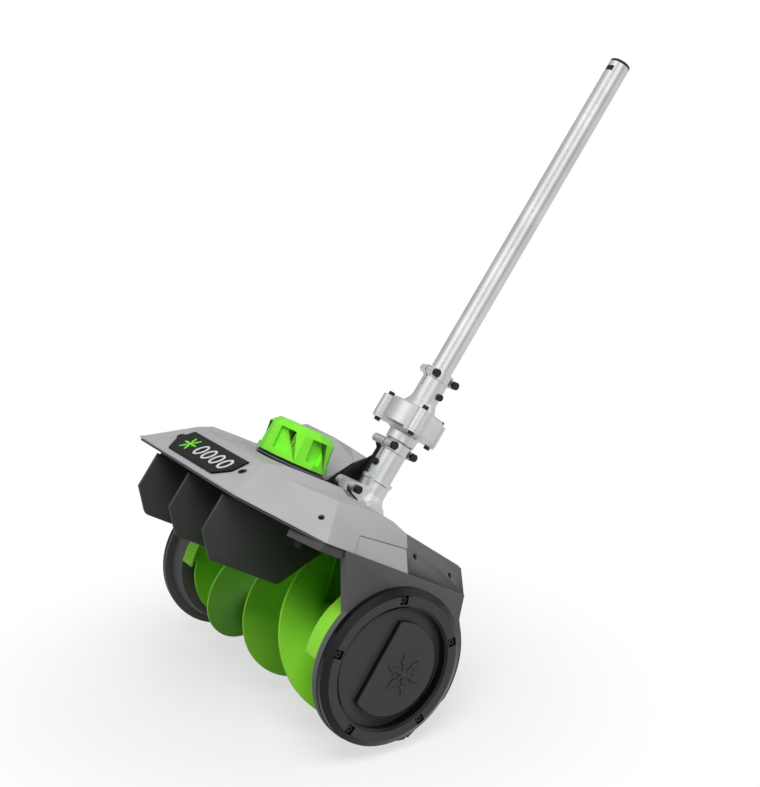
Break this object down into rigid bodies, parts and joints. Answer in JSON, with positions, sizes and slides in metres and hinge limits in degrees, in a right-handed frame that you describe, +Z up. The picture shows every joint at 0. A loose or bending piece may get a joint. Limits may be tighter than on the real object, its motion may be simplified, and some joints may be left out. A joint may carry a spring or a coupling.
{
  "type": "snow shovel attachment",
  "caption": "Powered snow shovel attachment: green auger between side drums, hood with steerable vanes and knob, alloy right-angle drive, reduction gearbox and long tube.",
  "frame": {"origin": "centre of the auger axis, midway between the two end covers", "axes": "+X along the auger towards the bearing side, -Y towards the snow, +Z up with the drums and scraper on level ground"},
  "size_m": [0.3768, 0.6197, 0.6936],
  "materials": {
    "light_shell": "satin moulded, light grey",
    "dark_shell": "satin moulded, charcoal",
    "gloss_cover": "semi-gloss moulded, charcoal",
    "liner": "matte moulded, near black",
    "black_steel": "black oxide",
    "scraper": "moulded wear strip",
    "green_knob": "satin moulded, bright green",
    "green_auger": "moulded, green",
    "badge_black": "gloss",
    "badge_green": "gloss",
    "badge_white": "gloss",
    "black_plastic": "satin",
    "belt": "matte",
    "steel": "machined",
    "cast_alloy": "satin die cast",
    "tube_alloy": "satin drawn",
    "bushing": "matte"
  },
  "bodies": {
    "housing": {"auger_bearings": "steel", "badge_emblem": "badge_green", "badge_mark": "badge_white", "badge_plate": "badge_black", "clamp_bolts": "black_steel", "cross_bearings": "steel", "cross_tube": "cast_alloy", "drive_bearings": "steel", "drive_belt": "belt", "drive_cowl": "light_shell", "end_cover_screws": "black_steel", "front_liner": "liner", "gear_head_bolts": "black_steel", "gear_head_cap": "cast_alloy", "gear_head_case": "cast_alloy", "gearbox_lower_case": "cast_alloy", "gearbox_screws": "black_steel", "gearbox_upper_case": "cast_alloy", "hood": "light_shell", "hood_screws": "black_steel", "knob_collar": "dark_shell", "left_end_cover": "gloss_cover", "left_side_frame": "dark_shell", "left_side_plate": "dark_shell", "main_housing": "dark_shell", "rear_housing": "dark_shell", "right_end_cover": "gloss_cover", "right_side_frame": "dark_shell", "right_side_plate": "dark_shell", "ring_gear": "steel", "scraper_blade": "scraper", "scraper_screws": "scraper", "set_screws": "black_steel", "shaft_bushings": "bushing", "shaft_tube": "tube_alloy", "support_bracket": "black_steel", "tube_button": "black_plastic"},
    "auger": {"auger": "green_auger", "auger_shaft": "steel", "auger_pulley": "black_plastic"},
    "cross": {"cross_shaft": "steel", "drive_pulley": "black_plastic", "bevel_gear": "steel"},
    "carrier": {"planet_carrier": "steel", "bevel_pinion": "steel"},
    "planet_1": {"planet_gear_1": "steel"},
    "planet_2": {"planet_gear_2": "steel"},
    "planet_3": {"planet_gear_3": "steel"},
    "drive": {"drive_shaft": "steel", "sun_gear": "steel"},
    "knob": {"knob": "green_knob", "knob_skirt": "black_plastic", "centre_spindle": "liner", "centre_vane": "liner"},
    "left_vane": {"left_vane": "liner", "left_spindle": "liner"},
    "right_vane": {"right_vane": "liner", "right_spindle": "liner"},
    "link": {"link_bar": "liner"},
    "cap": {"end_cap": "black_plastic"}
  },
  "joints": [
    {"name": "auger_spin", "type": "hinge", "parent": "housing", "child": "auger", "pos_m": [0, 0, 0], "axis": [1, 0, 0], "continuous": true},
    {"name": "cross_spin", "type": "hinge", "parent": "housing", "child": "cross", "pos_m": [0, 0.07974, 0.09864], "axis": [1, 0, 0], "continuous": true},
    {"name": "carrier_spin", "type": "hinge", "parent": "housing", "child": "carrier", "pos_m": [0, 0.1258, 0.15909], "axis": [0, 0.606, 0.7955], "continuous": true},
    {"name": "planet_1_spin", "type": "hinge", "parent": "carrier", "child": "planet_1", "pos_m": [0, 0.16379, 0.18421], "axis": [0, 0.606, 0.7955], "continuous": true},
    {"name": "planet_2_spin", "type": "hinge", "parent": "carrier", "child": "planet_2", "pos_m": [-0.01299, 0.14589, 0.19784], "axis": [0, 0.606, 0.7955], "continuous": true},
    {"name": "planet_3_spin", "type": "hinge", "parent": "carrier", "child": "planet_3", "pos_m": [0.01299, 0.14589, 0.19784], "axis": [0, 0.606, 0.7955], "continuous": true},
    {"name": "drive_spin", "type": "hinge", "parent": "housing", "child": "drive", "pos_m": [0, 0.24699, 0.31819], "axis": [0, 0.606, 0.7955], "continuous": true},
    {"name": "knob_turn", "type": "hinge", "parent": "housing", "child": "knob", "pos_m": [0, -0.02367, 0.15184], "axis": [0, 0.497, 0.8678], "range_deg": [-32, 32]},
    {"name": "left_vane_swing", "type": "hinge", "parent": "housing", "child": "left_vane", "pos_m": [-0.077, -0.03858, 0.12581], "axis": [0, 0.497, 0.8678], "range_deg": [-32, 32]},
    {"name": "right_vane_swing", "type": "hinge", "parent": "housing", "child": "right_vane", "pos_m": [0.077, -0.03858, 0.12581], "axis": [0, 0.497, 0.8678], "range_deg": [-32, 32]},
    {"name": "link_swing", "type": "hinge", "parent": "knob", "child": "link", "pos_m": [0, -0.00781, 0.13124], "axis": [0, 0.497, 0.8678], "range_deg": [-32, 32]},
    {"name": "cap_pull", "type": "slide", "parent": "housing", "child": "cap", "axis": [0, 0.606, 0.7955], "range_m": [0, 0.03]}
  ],
  "couplings": [
    {"joint": "cross_spin", "follows": "auger_spin", "ratio": 2.5},
    {"joint": "carrier_spin", "follows": "auger_spin", "ratio": 5},
    {"joint": "drive_spin", "follows": "auger_spin", "ratio": 25},
    {"joint": "planet_1_spin", "follows": "auger_spin", "ratio": -13.333},
    {"joint": "planet_2_spin", "follows": "auger_spin", "ratio": -13.333},
    {"joint": "planet_3_spin", "follows": "auger_spin", "ratio": -13.333},
    {"joint": "left_vane_swing", "follows": "knob_turn", "ratio": 1},
    {"joint": "right_vane_swing", "follows": "knob_turn", "ratio": 1},
    {"joint": "link_swing", "follows": "knob_turn", "ratio": -1}
  ]
}
